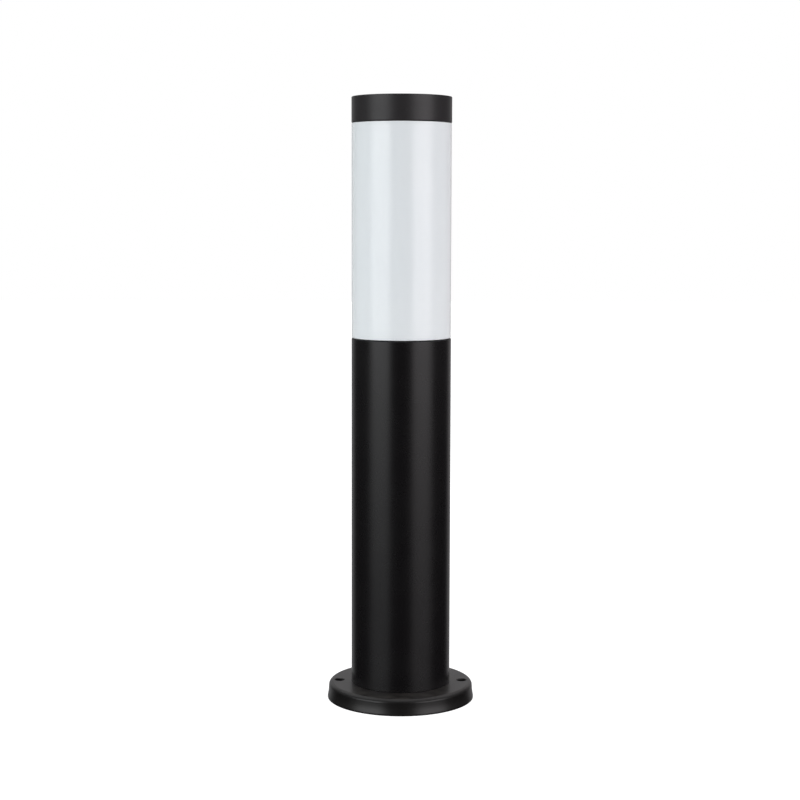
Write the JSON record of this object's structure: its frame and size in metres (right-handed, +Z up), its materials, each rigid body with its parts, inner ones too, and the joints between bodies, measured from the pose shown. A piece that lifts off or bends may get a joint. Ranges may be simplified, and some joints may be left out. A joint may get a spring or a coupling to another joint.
{
  "type": "bollard light",
  "caption": "Low round garden bollard light: black post on a flanged foot, opal light window under a flat cap, lift-off head and screw-in lamp.",
  "frame": {"origin": "centre of the base's underside, on the ground", "axes": "+Z up along the post's axis; X through the two fixing holes; +Y to the back"},
  "size_m": [0.1114, 0.1114, 0.455],
  "materials": {
    "powder_coated_post": "satin black powder coat",
    "powder_coated_casting": "satin black powder coat on a casting",
    "powder_coated_cap": "satin black powder coat",
    "opal_window": "smooth opal",
    "black_seal": "matt",
    "stainless_screws": "bright",
    "black_nylon": "moulded",
    "zinc_sheet": "zinc plated",
    "white_enamel": "gloss white",
    "white_nylon": "moulded",
    "cast_ring": "cast and turned",
    "white_collar": "moulded",
    "brass": "bright",
    "tinned_copper": "tinned",
    "earth_insulation": "green and yellow",
    "live_insulation": "brown",
    "neutral_insulation": "blue",
    "porcelain": "glazed ceramic",
    "nickel_shell": "nickel plated",
    "black_glass": "fused glass",
    "lamp_plastic": "white moulding",
    "lamp_globe": "opal",
    "led_board": "white solder mask",
    "led_chips": "phosphor",
    "driver_board": "circuit board"
  },
  "bodies": {
    "post": {"base_flange": "powder_coated_casting", "spigot_o_ring": "black_seal", "flange_screws": "stainless_screws", "post_tube": "powder_coated_post", "gland_body": "black_nylon", "gland_washer": "black_nylon", "gland_locknut": "black_nylon", "gland_seal": "black_seal", "gland_dome_nut": "black_nylon", "terminal_bracket": "zinc_sheet", "bracket_screws": "stainless_screws", "terminal_block": "white_nylon", "terminal_sleeves": "brass", "terminal_screws": "stainless_screws", "block_screws": "stainless_screws", "earth_screw": "stainless_screws", "earth_ring_terminal": "tinned_copper", "earth_wire": "earth_insulation", "live_wire": "live_insulation", "neutral_wire": "neutral_insulation", "socket_ring": "cast_ring", "bulkhead": "white_enamel", "socket_ring_screws": "stainless_screws", "wire_grommet": "black_seal", "lampholder_bracket": "zinc_sheet", "lampholder_bracket_screws": "stainless_screws", "lampholder_body": "porcelain", "lampholder_screws": "stainless_screws", "lampholder_shell": "nickel_shell", "lampholder_contact": "brass", "contact_rivet": "brass"},
    "head_seal": {"head_seal": "black_seal"},
    "head": {"diffuser_collar": "white_collar", "diffuser": "opal_window", "cap_seal": "black_seal", "top_cap": "powder_coated_cap", "cap_screws": "stainless_screws", "cap_screw_washers": "black_seal"},
    "lamp_tip": {"lamp_contact": "tinned_copper", "lamp_insulator": "black_glass"},
    "lamp": {"lamp_screw_shell": "nickel_shell", "lamp_housing": "lamp_plastic", "lamp_globe": "lamp_globe", "lamp_led_board": "led_board", "lamp_leds": "led_chips", "lamp_driver": "driver_board"}
  },
  "joints": [
    {"name": "head_lift", "type": "slide", "parent": "post", "child": "head_seal", "axis": [0, 0, 1], "range_m": [0, 0.13]},
    {"name": "head_lock", "type": "hinge", "parent": "head_seal", "child": "head", "pos_m": [0, 0, 0.27], "axis": [0, 0, 1], "range_deg": [-25, 0]},
    {"name": "lamp_rise", "type": "slide", "parent": "post", "child": "lamp_tip", "axis": [0, 0, 1], "range_m": [0, 0.0128]},
    {"name": "lamp_turn", "type": "hinge", "parent": "lamp_tip", "child": "lamp", "pos_m": [0, 0, 0.29], "axis": [0, 0, 1], "range_deg": [0, 1260]}
  ],
  "couplings": [
    {"joint": "lamp_rise", "follows": "lamp_turn", "m_per_rad": 0.00057757}
  ]
}
